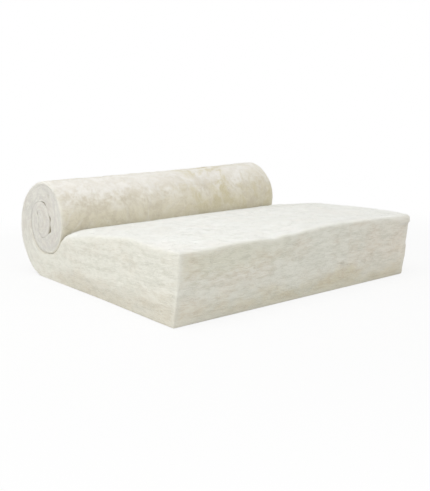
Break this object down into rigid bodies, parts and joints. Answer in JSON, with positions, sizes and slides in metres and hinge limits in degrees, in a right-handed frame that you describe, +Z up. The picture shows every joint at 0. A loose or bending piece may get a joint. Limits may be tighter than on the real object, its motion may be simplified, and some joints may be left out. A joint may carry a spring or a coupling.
{
  "type": "insulation roll",
  "caption": "Thick mineral wool insulation blanket, partly unrolled: the freed length lies flat and sprung up, the rest is still squeezed into a roll behind it.",
  "frame": {"origin": "on the floor under the middle of the footprint, on the blanket's flat underside", "axes": "+X along the roll, +Y from the cut end of the slab back to the roll, +Z up"},
  "size_m": [1.2, 1.3096, 0.44],
  "materials": {
    "wool": "matt off-white mineral wool, fibrous, layered on its cut ends"
  },
  "bodies": {
    "root": {"wool_blanket": "wool"}
  },
  "joints": []
}
